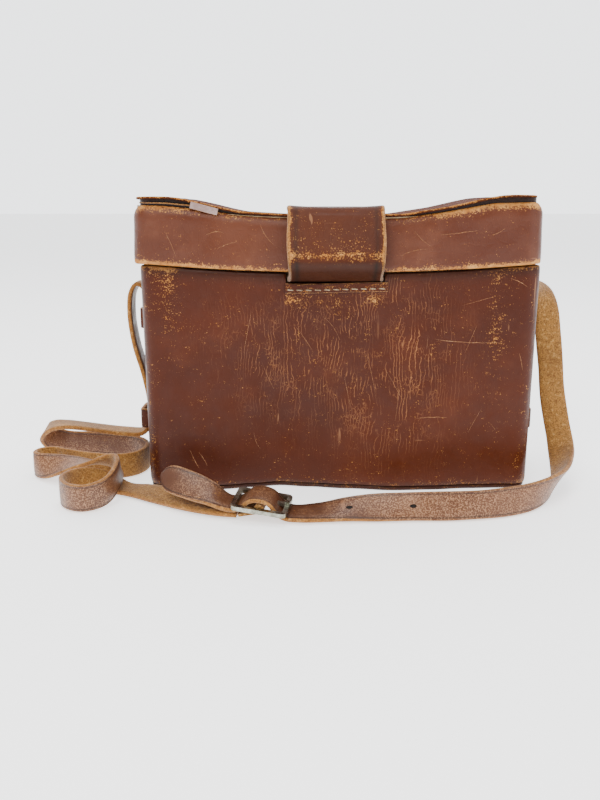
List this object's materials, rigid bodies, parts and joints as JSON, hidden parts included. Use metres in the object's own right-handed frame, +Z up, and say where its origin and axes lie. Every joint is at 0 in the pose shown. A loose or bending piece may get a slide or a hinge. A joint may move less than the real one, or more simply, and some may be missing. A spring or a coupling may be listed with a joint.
{
  "type": "binocular case",
  "caption": "Hard leather case for small binoculars, hinged lid, tongue that tucks in a slot, shoulder strap with buckle.",
  "frame": {"origin": "on the table, under the middle of the case body", "axes": "+Z up, -Y out of the front face with the tongue, +X to the viewer's right when facing the front"},
  "size_m": [0.2727, 0.123, 0.137],
  "materials": {
    "case_leather": "worn",
    "lid_leather": "worn",
    "raw_leather": "worn edge",
    "strap_leather": "worn",
    "board": "matt",
    "lining": "napped",
    "thread": "waxed",
    "patch": "worn",
    "metal": "tarnished"
  },
  "bodies": {
    "body": {"body_wrap": "case_leather", "bottom_panel": "case_leather", "bottom_welt": "raw_leather", "body_board": "board", "body_lining": "lining", "bottom_board": "board", "bottom_pad": "lining", "slot_lip": "case_leather", "slot_pocket": "board", "slot_stitching": "thread", "hinge_lower": "case_leather", "hinge_lower_stitching": "thread", "loop_upper_left": "case_leather", "loop_upper_right": "case_leather", "loop_lower_left": "case_leather", "loop_lower_right": "case_leather", "loop_rivets": "metal", "strap_rivets": "metal", "strap_holed": "strap_leather", "strap_buckled": "strap_leather", "strap_fold": "strap_leather", "buckle_frame": "metal"},
    "lid": {"lid_band": "lid_leather", "lid_top": "lid_leather", "lid_board": "board", "lid_lining": "lining", "hinge_upper": "lid_leather", "hinge_upper_stitching": "thread", "edge_patch": "patch", "tongue_root": "lid_leather"},
    "tongue": {"tongue_flap": "lid_leather", "tongue_tip": "lid_leather"},
    "prong": {"buckle_prong": "metal"}
  },
  "joints": [
    {"name": "lid_hinge", "type": "hinge", "parent": "body", "child": "lid", "pos_m": [0, 0.03965, 0.106], "axis": [-1, 0, 0], "range_deg": [0, 160]},
    {"name": "tongue_lift", "type": "hinge", "parent": "lid", "child": "tongue", "pos_m": [-0.0025, -0.0391, 0.1305], "axis": [-1, 0, 0], "range_deg": [0, 80], "deforming": ["tongue_tip"]},
    {"name": "prong_swing", "type": "hinge", "parent": "body", "child": "prong", "pos_m": [-0.0347, -0.073, 0.0072], "axis": [-0.1889, -0.9667, -0.1727], "range_deg": [0, 90]}
  ]
}
